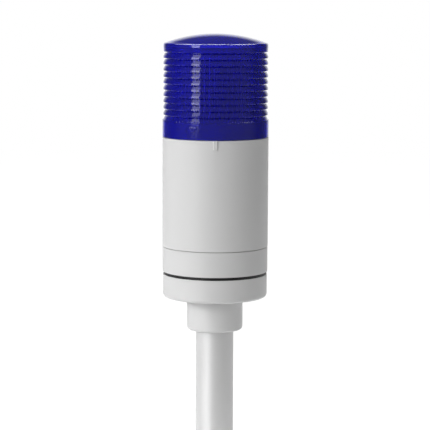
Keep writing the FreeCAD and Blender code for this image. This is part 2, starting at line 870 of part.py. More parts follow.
def make_round_part(label, across, up, radius, length):
    """A round part that stands on the front of the main board."""
    body = piece(label)
    can = circles(body, "can_outline", (across, lip_top + up), [radius], plane="XZ_Plane",
                  out=-board_face)
    pad(body, "can", can, length)


def cut_square(across, up, width, corner):
    """The corners of a square whose own corners are cut off."""
    far, near = width / 2, width / 2 - corner
    steps = [(far, -near), (far, near), (near, far), (-near, far),
             (-far, near), (-far, -near), (-near, -far), (near, -far)]
    return [(across + step_across, up + step_up) for step_across, step_up in steps]


def make_board_parts():
    """Two capacitors, a choke and a driver chip on the front of the main board."""
    column = size("part_column")
    high, low = size("upper_part_row"), size("lower_part_row")
    make_round_part("input_capacitor", -column, high,
                    size("input_capacitor_radius"), size("input_capacitor_length"))
    make_round_part("filter_capacitor", -column, low,
                    size("filter_capacitor_radius"), size("filter_capacitor_length"))
    choke = piece("choke_coil")
    case = outline(choke, "case_outline",
                   cut_square(column, lip_top + low, size("choke_width"), size("choke_corner")),
                   out=-board_face)
    pad(choke, "case", case, size("choke_length"))
    chip = piece("driver_chip")
    half = size("driver_chip_width") / 2
    middle = lip_top + high
    case = outline(chip, "case_outline",
                   rectangle(column - half, column + half, middle - size("driver_chip_length") / 2,
                             middle + size("driver_chip_length") / 2), out=-board_face)
    pad(chip, "case", case, size("driver_chip_height"))


def make_terminal_block():
    """A block on the floor, with a screw well above and a wire port in front of each pole."""
    body = piece("terminal_block")
    front = size("terminal_block_place")
    back = front + size("terminal_block_depth")
    width = size("terminal_pitch") * size("terminal_count")
    first = -(size("terminal_pitch") * (size("terminal_count") - 1) / 2)
    block = outline(body, "block_outline", centred(width, front, back), plane="XY_Plane",
                    out=ring_floor_top)
    pad(body, "block", block, size("terminal_block_height"))
    well = circles(body, "well_outline", (first, (front + back) / 2),
                   [size("terminal_well_radius")],
                   out=ring_floor_top + size("terminal_block_height"))
    well = pocket(body, "well", well, size("terminal_well_depth"))
    in_row(body, "wells", [well], "X_Axis", size("terminal_count"), size("terminal_pitch"))
    half = size("terminal_port_width") / 2
    low = ring_floor_top + size("terminal_port_lift")
    port = outline(body, "port_outline",
                   rectangle(first - half, first + half, low, low + size("terminal_port_width")),
                   out=-front)
    port = pocket(body, "port", port, size("terminal_port_depth"))
    in_row(body, "ports", [port], "X_Axis", size("terminal_count"), size("terminal_pitch"))


def make_terminal_screws():
    """The clamp screws in the wells, with a slot across each head."""
    body = piece("terminal_screws")
    middle = size("terminal_block_place") + size("terminal_block_depth") / 2
    first = -(size("terminal_pitch") * (size("terminal_count") - 1) / 2)
    well_bottom = ring_floor_top + size("terminal_block_height") - size("terminal_well_depth")
    radius = size("terminal_well_radius") - size("terminal_screw_gap")
    head = circles(body, "head_outline", (first, middle), [radius], out=well_bottom)
    head = pad(body, "head", head, size("terminal_screw_height"))
    half_slot = size("head_slot") / 2
    slot = outline(body, "slot_outline",
                   rectangle(first - radius, first + radius, middle - half_slot,
                             middle + half_slot),
                   plane="XY_Plane", out=well_bottom + size("terminal_screw_height"))
    slot = pocket(body, "slot", slot, size("terminal_slot_depth"))
    in_row(body, "heads", [head, slot], "X_Axis", size("terminal_count"), size("terminal_pitch"))


make_pole()
make_pole_base()
make_set_screw()
make_gasket()
make_lower_housing()
make_base_screws()
make_housing()
make_lens()
make_led_carrier()
for side_number in range(1, 5):
    make_led_board(side_number)
    make_led_chips(side_number)
make_plug_pins()
make_pin_socket()
make_main_board()
make_board_parts()
make_terminal_block()
make_terminal_screws()
document.recompute()

for item in document.Objects:
    if "Invalid" in item.State or "Error" in item.State:
        raise ValueError(f"{item.Name} failed: {item.State}")

bodies = [item for item in document.Objects if item.TypeId == "PartDesign::Body"]
for body in bodies:
    if body.Shape.isNull() or not body.Shape.isValid():
        raise ValueError(f"{body.Label} has no valid shape")

os.makedirs("parts", exist_ok=True)
for body in bodies:
    body.Shape.exportStep(f"parts/{body.Label}.step")
    print(body.Label, len(body.Shape.Solids), round(body.Shape.Volume, 1))
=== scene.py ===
# %% [markdown]
# # A stack light
# A stack light is the signal lamp on top of a machine. This one has a blue lens with ring fins, a
# pale grey housing, a rubber gasket, a base and an aluminium pole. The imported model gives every
# solid in place, so this lesson adds only what a solid can't: the fine form of the clear lens, the
# round edges of the base and of two raised marks, and how each material takes light.

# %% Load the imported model
import math

import bpy
import numpy as np
from mathutils import Matrix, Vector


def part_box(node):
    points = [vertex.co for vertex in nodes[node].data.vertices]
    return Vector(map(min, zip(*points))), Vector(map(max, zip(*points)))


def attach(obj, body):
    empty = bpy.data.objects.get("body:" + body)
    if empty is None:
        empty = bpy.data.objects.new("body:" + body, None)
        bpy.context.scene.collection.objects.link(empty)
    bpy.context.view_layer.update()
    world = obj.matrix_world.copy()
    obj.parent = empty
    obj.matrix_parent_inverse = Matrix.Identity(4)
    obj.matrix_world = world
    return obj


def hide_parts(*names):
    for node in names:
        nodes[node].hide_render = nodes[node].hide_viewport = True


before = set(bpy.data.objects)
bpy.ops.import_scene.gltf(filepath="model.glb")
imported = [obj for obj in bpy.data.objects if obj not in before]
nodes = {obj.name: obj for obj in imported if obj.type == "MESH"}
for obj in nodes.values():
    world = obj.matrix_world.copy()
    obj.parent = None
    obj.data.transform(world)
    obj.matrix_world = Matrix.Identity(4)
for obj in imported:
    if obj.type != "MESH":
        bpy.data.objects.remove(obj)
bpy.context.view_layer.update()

MM = 0.001
print("nodes:", len(nodes))

# %% [markdown]
# ## Colours
# Colours are easiest to compare as hex values, as a paint program shows them. A shader works with
# light itself. Each value could be turned by hand, but a slip would be hard to see, so one function
# turns them all from the screen's curve to a linear amount of light.


# %% Turn a hex colour into linear light
def linear(colour):
    """An sRGB hex value as linear red, green, blue and alpha 1. A channel up to 0.04045 is divided
    by 12.92, and above that it is (channel + 0.055) / 1.055, raised to the power 2.4."""
    channels = np.array([int(colour[k:k + 2], 16) for k in (1, 3, 5)]) / 255
    low = channels / 12.92
    high = ((channels + 0.055) / 1.055) ** 2.4
    return (*np.where(channels <= 0.04045, low, high), 1.0)


WHITE = linear("#FFFFFF")
print("mid grey in linear light:", round(linear("#808080")[0], 3))

# %% [markdown]
# ## Nodes
# Every material here is a small tree of nodes. Adding one always takes the same steps: make it, set
# its options and the values of its sockets, then link it. One function does all three, so that each
# tree below reads as a list of what its nodes do.


# %% Add a node
def add_node(tree, kind, settings=None, links=None):
    """Add a node to a tree. A setting is one of its input sockets or one of its own options, and
    a link leads from another node's output to the named input."""
    node = tree.nodes.new(kind)
    for name, value in (settings or {}).items():
        if isinstance(name, int) or name in node.inputs:
            node.inputs[name].default_value = value
        else:
            setattr(node, name, value)
    for name, output in (links or {}).items():
        tree.links.new(output, node.inputs[name])
    return node


# %% [markdown]
# ## Materials
# One Principled shader can stand for plastic, rubber, metal and clear resin alike. The other way is
# to mix single shaders by hand, which gives more freedom but takes more care to keep true to life.
# So each material starts here, from the values of the real one.


# %% Start a material
def new_material(name, **shader_settings):
    """A material with one Principled shader. Underscores in a setting stand for spaces."""
    material = bpy.data.materials.new(name)
    material.use_nodes = True
    tree = material.node_tree
    tree.nodes.clear()
    settings = {key.replace("_", " "): value for key, value in shader_settings.items()}
    shader = add_node(tree, "ShaderNodeBsdfPrincipled", settings)
    add_node(tree, "ShaderNodeOutputMaterial", links={"Surface": shader.outputs[0]})
    print("material:", name)
    return material, tree, shader


# %% [markdown]
# ## Camera
# The lamp is seen from a little above the lens, from a metre away, through a long lens. From there
# the rings curve only slightly, and more towards the base than at the top. A track constraint could
# aim the camera, but two turns say exactly how it tilts and rolls.

# %% Camera
CAMERA_SIDE, CAMERA_DISTANCE, CAMERA_HEIGHT = -0.1 * MM, 1000 * MM, 288.3 * MM
CAMERA_TILT, CAMERA_ROLL = math.radians(6.976), math.radians(0.25)
FOCAL_LENGTH, SENSOR_WIDTH = 159.4, 36

camera_data = bpy.data.cameras.new("camera")
camera_data.lens, camera_data.sensor_width = FOCAL_LENGTH, SENSOR_WIDTH
camera = bpy.data.objects.new("camera", camera_data)
bpy.context.scene.collection.objects.link(camera)
turn = Matrix.Rotation(math.pi / 2 - CAMERA_TILT, 4, "X") @ Matrix.Rotation(CAMERA_ROLL, 4, "Z")
camera.matrix_world = Matrix.Translation((CAMERA_SIDE, -CAMERA_DISTANCE, CAMERA_HEIGHT)) @ turn
bpy.context.scene.camera = camera
bpy.context.scene.view_settings.view_transform = "Standard"
print("camera lens:", camera_data.lens, "mm")

# %% [markdown]
# ## Floor
# The floor is a pale sheet that starts just in front of the lamp and ends far behind it. In front
# it is short, so that the pole mirrors the dim room and not a white floor. Whatever looks straight
# at it, or sees it in a reflection or through the lens, gets mostly plain white, and a small share
# of real lighting keeps a faint shadow. All other light sees an ordinary pale surface. More light
# would make the floor white too, but it would bleach the lamp.

# %% Floor
FLOOR_SIDE, FLOOR_FRONT, FLOOR_BACK = 1.2, -0.15, 2.2
BACKGROUND_SHARE, BACKGROUND_GLOW = 0.8, 1.19

floor_mesh = bpy.data.meshes.new("floor")
floor_corners = [(-FLOOR_SIDE, FLOOR_FRONT, 0), (FLOOR_SIDE, FLOOR_FRONT, 0),
                 (FLOOR_SIDE, FLOOR_BACK, 0), (-FLOOR_SIDE, FLOOR_BACK, 0)]
floor_mesh.from_pydata(floor_corners, [], [(0, 1, 2, 3)])
floor = bpy.data.objects.new("floor", floor_mesh)
bpy.context.scene.collection.objects.link(floor)

floor_material, tree, shader = new_material(
    "painted floor", Base_Color=linear("#F2F2F2"), Roughness=0.9, IOR=1.3)
path = add_node(tree, "ShaderNodeLightPath")
seen = add_node(tree, "ShaderNodeMath", {"operation": "MAXIMUM"},
                {0: path.outputs["Is Camera Ray"], 1: path.outputs["Is Glossy Ray"]})
seen = add_node(tree, "ShaderNodeMath", {"operation": "MAXIMUM"},
                {0: seen.outputs[0], 1: path.outputs["Is Transmission Ray"]})
share = add_node(tree, "ShaderNodeMath", {"operation": "MULTIPLY", 1: BACKGROUND_SHARE},
                 {0: seen.outputs[0]})
white = add_node(tree, "ShaderNodeEmission", {"Color": WHITE, "Strength": BACKGROUND_GLOW})
mixed = add_node(tree, "ShaderNodeMixShader", links={
    0: share.outputs[0], 1: shader.outputs[0], 2: white.outputs[0]})
output = next(node for node in tree.nodes if node.type == "OUTPUT_MATERIAL")
tree.links.new(mixed.outputs[0], output.inputs["Surface"])
floor_mesh.materials.append(floor_material)
print("floor corners:", floor_corners)

# %% [markdown]
# ## Room
# The lamp stands in a dim room, in front of a low white wall. What looks straight at the room sees
# only white. Reflections, light through the lens and light on matt faces see all of it: grey in
# front of the lamp, darker behind, a middle grey well below the horizon, and the white wall
# straight behind. A picture of a studio would do this as well. A few nodes on the direction of each
# ray need no file and can be set to any level.

# %% Room
ROOM_FRONT, ROOM_BACK, ROOM_BELOW = 0.27, 0.10, 0.20
FRONT_TO_BACK = (-0.2, 0.2)  # across the direction's Y, where the front fades into the back
BELOW_TO_LEVEL = (-0.35, -0.10)  # up the direction's Z
WALL_SIDE_TO_MIDDLE = (0.8, 0.95)
WALL_FULL_TO_NONE = (0.20, 0.38)

world = bpy.data.worlds.new("studio")
bpy.context.scene.world = world
world.use_nodes = True
tree = world.node_tree
tree.nodes.clear()


def fade(value, span, low=0.0, high=1.0, links=None):
    """A level that goes evenly from low to high while the value crosses the span."""
    settings = {"From Min": span[0], "From Max": span[1], "To Min": low, "To Max": high}
    return add_node(tree, "ShaderNodeMapRange", settings, {"Value": value, **(links or {})})


path = add_node(tree, "ShaderNodeLightPath")
place = add_node(tree, "ShaderNodeTexCoord")
direction = add_node(tree, "ShaderNodeSeparateXYZ", links={0: place.outputs["Generated"]})
ahead, up = direction.outputs["Y"], direction.outputs["Z"]
level = fade(ahead, FRONT_TO_BACK, ROOM_FRONT, ROOM_BACK)
room = fade(up, BELOW_TO_LEVEL, ROOM_BELOW, links={"To Max": level.outputs[0]})
behind = fade(ahead, WALL_SIDE_TO_MIDDLE)
low = fade(up, WALL_FULL_TO_NONE, 1.0, 0.0)
wall = add_node(tree, "ShaderNodeMath", {"operation": "MULTIPLY"},
                {0: behind.outputs[0], 1: low.outputs[0]})
wall = add_node(tree, "ShaderNodeMath", {"operation": "MAXIMUM"},
                {0: wall.outputs[0], 1: path.outputs["Is Camera Ray"]})
strength = add_node(tree, "ShaderNodeMix", {3: 1.0}, {0: wall.outputs[0], 2: room.outputs[0]})
light = add_node(tree, "ShaderNodeBackground", {"Color": WHITE}, {"Strength": strength.outputs[0]})
add_node(tree, "ShaderNodeOutputWorld", links={0: light.outputs[0]})
print("room levels:", {"front": ROOM_FRONT, "back": ROOM_BACK, "below": ROOM_BELOW})

# %% [markdown]
# ## Lamps
# Two soft boxes at the left light the lamp and show as the highlight on the lens. Three wide ones
# show in no reflection, so they add no more highlights: two from the left, which also throw the
# dish's shadow on the boss, and a weak one from the right. One overhead lights the top edges. The
# last two show in reflections: a large one above and behind, whose reflection is the bright line
# on the edge of the dome, and a small low one, which is the streak on the pole. Fewer lamps would
# be simpler, but then the highlights and the light on matt faces couldn't be set apart.


# %% Lamps
def add_light(name, azimuth, height, distance, width, tall, power, aim=0.18, hidden=()):
    """A rectangular soft light. Azimuth is in degrees from the front, negative to the left, and
    the light faces the axis at the height to aim at, the middle of the housing by default. It
    doesn't reach the kinds of ray it is hidden from."""
    data = bpy.data.lights.new(name, "AREA")
    data.shape = "RECTANGLE"
    data.size, data.size_y, data.energy = width, tall, power
    light = bpy.data.objects.new(name, data)
    bpy.context.scene.collection.objects.link(light)
    turn = math.radians(azimuth)
    place = np.array([math.sin(turn), -math.cos(turn), 0]) * distance + [0, 0, height]
    back = place - [0, 0, aim]
    back = back / np.linalg.norm(back)
    side = np.cross([0, 0, 1], back)
    side = side / np.linalg.norm(side)
    turned = Matrix(np.array([side, np.cross(back, side), back]).T.tolist()).to_4x4()
    light.matrix_world = Matrix.Translation(place.tolist()) @ turned
    for ray in hidden:
        setattr(light, "visible_" + ray, False)
    print(f"{name}: {power} W from {azimuth} degrees")


add_light("key light", azimuth=-45, height=0.6, distance=1.3, width=0.46, tall=1.0, power=6.2)
add_light("upper key light", azimuth=-53, height=1.34, distance=1.1, width=0.4, tall=0.45,
          power=1.0)
add_light("side light", azimuth=-80, height=0.7, distance=1.5, width=1.0, tall=0.4, power=6.1,
          hidden=["glossy"])
add_light("front light", azimuth=-45, height=0.7, distance=1.5, width=1.0, tall=0.4, power=3.5,
          hidden=["glossy"])
add_light("fill light", azimuth=30, height=0.5, distance=1.5, width=1.5, tall=0.6, power=1.2,
          hidden=["glossy"])
add_light("overhead light", azimuth=0, height=1.3, distance=0.02, width=0.5, tall=0.5, power=10,
          hidden=["glossy", "transmission"])
add_light("top light", azimuth=180, height=1.10, distance=0.30, width=1.5, tall=0.7, power=26,
          hidden=["diffuse", "transmission"])
add_light("low light", azimuth=-46, height=0.035, distance=0.2, width=0.16, tall=0.07,
          power=0.085, aim=0.06, hidden=["diffuse", "camera"])

# %% [markdown]
# ## Turned surfaces
# Most pieces here are turned: one half outline, carried round the axis. A Screw modifier would do
# that too, but this way each corner of the outline has its own small rounding, and the normals come
# from the same sums as the points, so flats stay flat and roundings stay round however few points
# they have.

# %% Round the corners of an outline
QUARTER = math.pi / 2
STRAIGHT = 1e-6  # a turn under this isn't a corner


def rotate(vector, angle):
    """A plane vector turned left by an angle, or by each of an array of angles."""
    c, s = np.cos(angle), np.sin(angle)
    return np.stack([c * vector[0] - s * vector[1], s * vector[0] + c * vector[1]], axis=-1)


def rounded_outline(corners, step=math.radians(30)):
    """Points and normals along an outline of (radius, height, rounding) corners. Each corner is cut
    back on both sides by rounding x tan(turn / 2), and an arc of that rounding joins the cuts.
    Material lies on the right of the way, so the normal is the way turned left."""
    spots = np.array([corner[:2] for corner in corners], float)
    ways = np.diff(spots, axis=0)
    ways /= np.linalg.norm(ways, axis=1)[:, None]
    points, normals = [spots[:1]], [rotate(ways[0], QUARTER)[None]]
    for k in range(1, len(corners) - 1):
        before, after, rounding = ways[k - 1], ways[k], corners[k][2]
        turn = math.atan2(before[0] * after[1] - before[1] * after[0], before @ after)
        if abs(turn) < STRAIGHT:
            points.append(spots[k:k + 1])
            normals.append(rotate(before, QUARTER)[None])
            continue
        side = math.copysign(1, turn)
        start = spots[k] - before * rounding * math.tan(abs(turn) / 2)
        centre = start + side * rounding * rotate(before, QUARTER)
        angles = np.linspace(0, turn, max(2, math.ceil(abs(turn) / step) + 1))
        left = rotate(before, QUARTER + angles)
        points.append(centre - side * rounding * left)
        normals.append(left)
    points.append(spots[-1:])
    normals.append(rotate(ways[-1], QUARTER)[None])
    return np.concatenate(points), np.concatenate(normals)


print("one rounded corner:", len(rounded_outline([(1, 1, 0), (2, 1, 0.2), (2, 0, 0)])[0]), "points")

# %% [markdown]
# ## Round the axis
# A grid of quads joins each ring to the next. Where an outline starts and ends on the axis, its
# first and last ring are one spot many times over. A hole or a stack of loose points there would
# spoil the shading, so those rings become one point with a fan of triangles.


# %% Carry an outline round the axis
def grid_quads(rows, columns, around=False):
    """Quads between the points of a grid, which count row by row. Round an axis, the last column
    joins the first."""
    column = np.arange(columns if around else columns - 1)
    ahead = (column + 1) % columns
    row = np.arange(rows - 1)[:, None] * columns
    corners = [row + column, row + ahead, row + columns + ahead, row + columns + column]
    return np.stack(corners, axis=-1).reshape(-1, 4)


def turned_surface(outline, segments, change=None):
    """Carry an outline round the axis: point (r, h) at angle t stands at (r cos t, r sin t, h).
    change(radius, height, angle) may alter the radius, and the normal then leans by the
    radius's slope round the circle."""
    points, normals = outline
    angles = np.linspace(0, 2 * np.pi, segments, endpoint=False)
    radius = np.repeat(points[:, :1], segments, axis=1)
    height = np.repeat(points[:, 1:], segments, axis=1)
    if change:
        radius = change(radius, height, angles[None, :])
    step = 2 * np.pi / segments
    slope = (np.roll(radius, -1, 1) - np.roll(radius, 1, 1)) / (2 * step)
    slope = slope / np.maximum(radius, 1e-9)
    c, s = np.cos(angles), np.sin(angles)
    vertices = np.stack([radius * c, radius * s, height], axis=-1)
    across, up = normals[:, :1], np.repeat(normals[:, 1:], segments, axis=1)
    shading = np.stack([across * (c + slope * s), across * (s - slope * c), up], axis=-1)
    shading /= np.linalg.norm(shading, axis=-1, keepdims=True)
    quads = grid_quads(len(points), segments, around=True)[:, [0, 3, 2, 1]]  # faces turned out
    return vertices.reshape(-1, 3), shading.reshape(-1, 3), quads.tolist()


def close_on_axis(surface, segments):
    """Join the first ring, and the last, to one point each. Both lie on the axis."""
    vertices, shading, faces = surface
    last = len(vertices) - segments
    kept = np.arange(len(vertices))
    kept[:segments], kept[last:] = 0, last
    keep = np.unique(kept)
    place = np.searchsorted(keep, kept)
    quads = place[np.array(faces)].tolist()
    fans = [list(dict.fromkeys(quad)) for quad in quads[:segments] + quads[-segments:]]
    return vertices[keep], shading[keep], quads[segments:-segments] + fans


print("faces between three rings of 4 points:", len(grid_quads(3, 4, around=True)))

# %% [markdown]
# ## Pieces
# A piece is its mesh and the facts about it: the body it moves with, the material it wears, and the
# solids it stands for. Blender could work out the normals from the faces, but the ones from the
# formula are exact, so they are stored with the mesh.


# %% Make a piece from a surface
def make_piece(name, surface, body, material, replaces=()):
    """A mesh object in metres from a surface in millimetres. It rides on a body, takes the given
    material, and stands for the solids that it replaces, which it hides."""
    vertices, shading, faces = surface
    mesh = bpy.data.meshes.new(name)
    mesh.from_pydata((vertices * MM).tolist(), [], faces)
    mesh.shade_smooth()
    mesh.normals_split_custom_set_from_vertices(shading.tolist())
    mesh.materials.append(material)
    piece = bpy.data.objects.new(name, mesh)
    bpy.context.scene.collection.objects.link(piece)
    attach(piece, body)
    if replaces:
        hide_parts(*replaces)
    triangles = sum(len(face) - 2 for face in faces)
    size = np.ptp(vertices, axis=0).round(2)
    print(f"{name}: {triangles} triangles, {size} mm")


# %% [markdown]
# ## Clear blue polycarbonate
# The lens is polycarbonate, injection moulded in a polished tool: clear, with a mirror-like gloss,
# and the flange's tool a little less bright. Its blue is a dye all through the wall. A volume could
# take the red and green out of the light on its way, but it is slow and noisy in walls this thin.
# Here each surface tints the light that passes it, so two walls are deeper blue than one, and a
# fifth of the light is scattered in the dye's colour, so the lens stays blue against anything.

# %% Lens material
lens_low, lens_high = (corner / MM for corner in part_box("lens_globe"))
FLANGE_TOP = lens_low.z + 9.1
FLANGE_ROUGHNESS, FIN_ROUGHNESS, POLISH_FADE = 0.08, 0.05, 0.3

lens_material, tree, shader = new_material(
    "dyed polycarbonate", Base_Color=linear("#1515D6"), IOR=1.585, Transmission_Weight=0.8)
place = add_node(tree, "ShaderNodeTexCoord")
place = add_node(tree, "ShaderNodeSeparateXYZ", links={0: place.outputs["Object"]})
polish = fade(place.outputs["Z"], ((FLANGE_TOP - POLISH_FADE) * MM, FLANGE_TOP * MM),
              FLANGE_ROUGHNESS, FIN_ROUGHNESS)
tree.links.new(polish.outputs[0], shader.inputs["Roughness"])

# %% [markdown]
# ## Lens
# Outside, ring fins throw the light level. Each has a flat underside, an upright tip and a long
# sloping top, with a narrow slot below the next. Inside, upright flutes spread the light sideways.
# A bevelled stack of cut rings would do, but each kind of corner has a rounding of its own, so one
# outline runs from the middle of the dome down the outside and back up the inside.

# %% Sizes of the lens, in mm
FIN_PITCH, FIN_TIP, FIN_SHOULDER, FIN_ROOT = 3.3, 27.5, 26.7, 25.8
GROOVES, FIRST_ROOT = 11, FLANGE_TOP + 2.1
FLANGE_RADIUS, BORE_RADIUS, LEDGE = 27.95, 25.6, lens_low.z + 8.0
FLUTE_RADIUS, FLUTE_DEPTH, FLUTES = 24.2, 0.4, 60
RIM_TOP = lens_high.z - 4.55
CEILING, FLUTE_TOP = RIM_TOP - 2.05, RIM_TOP - 6.45
LUG_LOW, LUG_HIGH, LUG_REACH = lens_low.z + 3.6, lens_low.z + 5.4, 1.3
SHARP = 0.1  # the rounding of edges that the tool leaves nearly sharp
print("lens from", round(lens_low.z, 2), "to", round(lens_high.z, 2), "mm")

# %% [markdown]
# ## Dome and rim
# The dome is a shallow cap, the top of a large ball. Near its edge it goes on straight down to the
# rim, which has a soft corner. Below the corner the wall leans out very slightly, as a moulding's
# wall has to so that it leaves its tool. A flattened half ball would be quicker to add, but it is
# too round at its edge, so the cap is worked out from its width and its fall.

# %% Dome and rim
CAP_EDGE, CAP_FALL, CAP_CUT, CAP_POINTS = 26.4, 4.7, 0.6, 18
RIM_LEAN, RIM_DEPTH, RIM_EDGE, LEAN_EDGE = 0.1, 2.0, 1.0, 4.0

# A cap of radius a that falls by h belongs to a sphere of radius (a x a + h x h) / 2h.
cap_radius = (CAP_EDGE ** 2 + CAP_FALL ** 2) / (2 * CAP_FALL)
cap_angles = np.linspace(0, math.asin((CAP_EDGE - CAP_CUT) / cap_radius), CAP_POINTS)
cap_normals = np.stack([np.sin(cap_angles), np.cos(cap_angles)], axis=-1)
cap_points = [0, lens_high.z - cap_radius] + cap_radius * cap_normals
cap_end, cap_end_height = cap_points[-1]
rim_radius = FIN_TIP - RIM_LEAN
rim_height = cap_end_height - (rim_radius - cap_end) * math.tan(cap_angles[-1])
rim = [(cap_end, cap_end_height, 0), (rim_radius, rim_height, RIM_EDGE),
       (FIN_TIP, cap_end_height - RIM_DEPTH, LEAN_EDGE)]
print("dome: part of a ball of", round(cap_radius, 1), "mm radius")

# %% [markdown]
# ## Ring grooves
# The fins are what the grooves leave. One groove is five corners, from above: the edge under the
# fin, two at the root of the slot, the shoulder and the tip of the next fin. Repeating the row of
# corners up the lens is less work than repeating a cut, and leaves no doubled points.

# %% Ring grooves
groove = np.array([(FIN_TIP, 0.32, 0.15), (FIN_ROOT, 0.25, 0.24), (FIN_ROOT, -0.25, 0.24),
                   (FIN_SHOULDER, -0.34, 0.30), (FIN_TIP, -1.95, 0.20)])
TOP_LEAN = 0.15  # the edge under the rim, in from the other tips

grooves = np.tile(groove, (GROOVES, 1, 1))
grooves[:, :, 1] += (FIRST_ROOT + FIN_PITCH * np.arange(GROOVES - 1, -1, -1))[:, None]
grooves[0, 0, 0] = FIN_TIP - TOP_LEAN
grooves[-1, -1] = FIN_TIP, FLANGE_TOP, 0.05
print("fins:", GROOVES - 1, "at every", FIN_PITCH, "mm")

# %% [markdown]
# ## The rest of the outline
# Below the fins come the plain flange and its bore, and then the inner wall runs up to the ceiling.
# The inside could be a mesh of its own, but the lens is one moulding, so one outline closes it. The
# extra points on straight walls are where lugs and flutes start and end.

# %% Lens outline
LUG_STEP, FLUTE_FADE, FLUTE_ROWS = 0.05, 0.4, 9
CEILING_LEAN, CEILING_RISE, CEILING_EDGE = 0.2, 0.4, 2.0

flange = [(FLANGE_RADIUS, FLANGE_TOP, 0.15), (FLANGE_RADIUS, lens_low.z, 0.12),
          (BORE_RADIUS, lens_low.z, 0.12)]
lug_levels = (LUG_LOW - LUG_STEP, LUG_LOW, LUG_HIGH, LUG_HIGH + LUG_STEP)
lugs = [(BORE_RADIUS, h, 0) for h in lug_levels]
flute_levels = np.linspace(LEDGE + FLUTE_FADE, FLUTE_TOP, FLUTE_ROWS)
fluted_wall = [(BORE_RADIUS, LEDGE, SHARP), (FLUTE_RADIUS, LEDGE, SHARP),
               *((FLUTE_RADIUS, h, 0) for h in flute_levels),
               (FLUTE_RADIUS, FLUTE_TOP + FLUTE_FADE, 0)]
ceiling = [(FLUTE_RADIUS - CEILING_LEAN, CEILING, CEILING_EDGE), (0, CEILING + CEILING_RISE, 0)]

wall_points, wall_normals = rounded_outline(
    [*rim, *map(tuple, grooves.reshape(-1, 3)), *flange, *lugs, *fluted_wall, *ceiling])
lens_outline = (np.concatenate([cap_points, wall_points]),
                np.concatenate([cap_normals, wall_normals]))
print("lens outline:", len(lens_outline[0]), "points")

# %% [markdown]
# ## Flutes and lugs
# Two things on the lens aren't turned. Inside, 60 flutes run up the wall. In the flange's bore,
# three lugs reach in, which hook under the neck of the housing when the lens is twisted on. Both
# are a change of radius that depends on the angle, so they need no cuts: the wall just swings in.

# %% Lens
SEGMENTS = 360  # six to a flute
LUG_HALF_TURN = 5.1  # degrees
NEAR = 0.01  # mm, within which a point is on a wall


def flutes_and_lugs(radius, height, angle):
    """Inside, the wall swings in and out as a cosine, 60 times round. Three lugs stand in from the
    flange's bore, each 10 degrees wide."""
    fluted = (height > LEDGE + FLUTE_FADE / 2) & (height < FLUTE_TOP + FLUTE_FADE / 2)
    fluted = fluted & (radius < FLUTE_RADIUS + NEAR)
    radius = radius + fluted * FLUTE_DEPTH * np.cos(FLUTES * angle)
    third = np.degrees((angle + np.pi / 3) % (2 * np.pi / 3) - np.pi / 3)
    lug = (np.abs(radius - BORE_RADIUS) < NEAR) & (np.abs(third) < LUG_HALF_TURN)
    lug = lug & (height > LUG_LOW - NEAR) & (height < LUG_HIGH + NEAR)
    return radius - lug * LUG_REACH


lens_surface = close_on_axis(turned_surface(lens_outline, SEGMENTS, flutes_and_lugs), SEGMENTS)
make_piece("lens", lens_surface, "lens", lens_material, ["lens_globe"])

# %% [markdown]
# ## Pale grey moulded plastic
# The housing, the ring under it and the base are ABS, moulded in a tool whose walls were roughened
# by sparks. That leaves a fine even grain and a soft sheen. A picture of such a wall could be
# wrapped round, but noise has no seam. The real grain is about 0.1 mm, too fine to show here, so
# it is drawn at 0.7 mm and kept shallow.

# %% Housing and base material
GRAIN, GRAIN_DEPTH, GRAIN_STRENGTH = 0.7 * MM, 0.01 * MM, 0.5
NOISE_MIDDLE = (0.3, 0.7)  # nearly all of a noise lies between these


def patchy_sheen(tree, shader, noise, roughness, spread):
    """Let the roughness swing by the spread to both sides, as the noise does."""
    sheen = fade(noise.outputs[0], NOISE_MIDDLE, roughness - spread, roughness + spread)
    tree.links.new(sheen.outputs[0], shader.inputs["Roughness"])


def relief(tree, shader, noise, depth, strength):
    """Raise and sink the surface by the noise, in its shading only."""
    bump = add_node(tree, "ShaderNodeBump", {"Strength": strength, "Distance": depth},
                    {"Height": noise.outputs[0]})
    tree.links.new(bump.outputs[0], shader.inputs["Normal"])


def moulded_plastic(name, colour, roughness, grain=GRAIN):
    """Moulded plastic: one colour, with a fine grain in its relief and in its sheen."""
    material, tree, shader = new_material(
        name, Base_Color=linear(colour), Roughness=roughness, IOR=1.53)
    place = add_node(tree, "ShaderNodeTexCoord")
    noise = add_node(tree, "ShaderNodeTexNoise", {"Scale": 1 / grain, "Detail": 2.0},
                     {"Vector": place.outputs["Object"]})
    patchy_sheen(tree, shader, noise, roughness, 0.05)
    relief(tree, shader, noise, GRAIN_DEPTH, GRAIN_STRENGTH)
    return material


def dress(material, *names):
    """Give CAD nodes a material in every slot."""
    for name in names:
        slots = nodes[name].data.materials
        slots.clear()
        slots.append(material)
    print(f"{material.name}: on {', '.join(names)}")


housing_plastic = moulded_plastic("grained ABS, housing", "#DADADA", 0.48)
base_plastic = moulded_plastic("grained ABS, base", "#DADADA", 0.45)
dress(housing_plastic, "housing", "lower_housing")
dress(base_plastic, "pole_base")

# %% [markdown]
# ## Rounded edges of the base
# The solid draws each lower edge of the base as two flats. A Bevel modifier could round them, but
# it would also touch every other edge of that solid. A quarter arc on the same two circles covers
# just these two and takes the light as the moulded edge does.

# %% Base edges
base_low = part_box("pole_base")[0] / MM
# In mm: the radius of the wall above an edge, the level of the face under it, and the rounding.
BASE_EDGES = {"dish_edge": (27.55, base_low.z + 17.6, 2.1), "boss_edge": (14.8, base_low.z, 1.6)}
ARC_POINTS, ARC_SEGMENTS = 10, 240

for name, (radius, level, edge) in BASE_EDGES.items():
    turn = np.linspace(0, QUARTER, ARC_POINTS)
    way = np.stack([np.cos(turn), -np.sin(turn)], axis=-1)
    arc = np.array([radius - edge, level + edge]) + edge * way
    surface = turned_surface((arc, way), ARC_SEGMENTS)
    make_piece(name, surface, "tower", base_plastic)

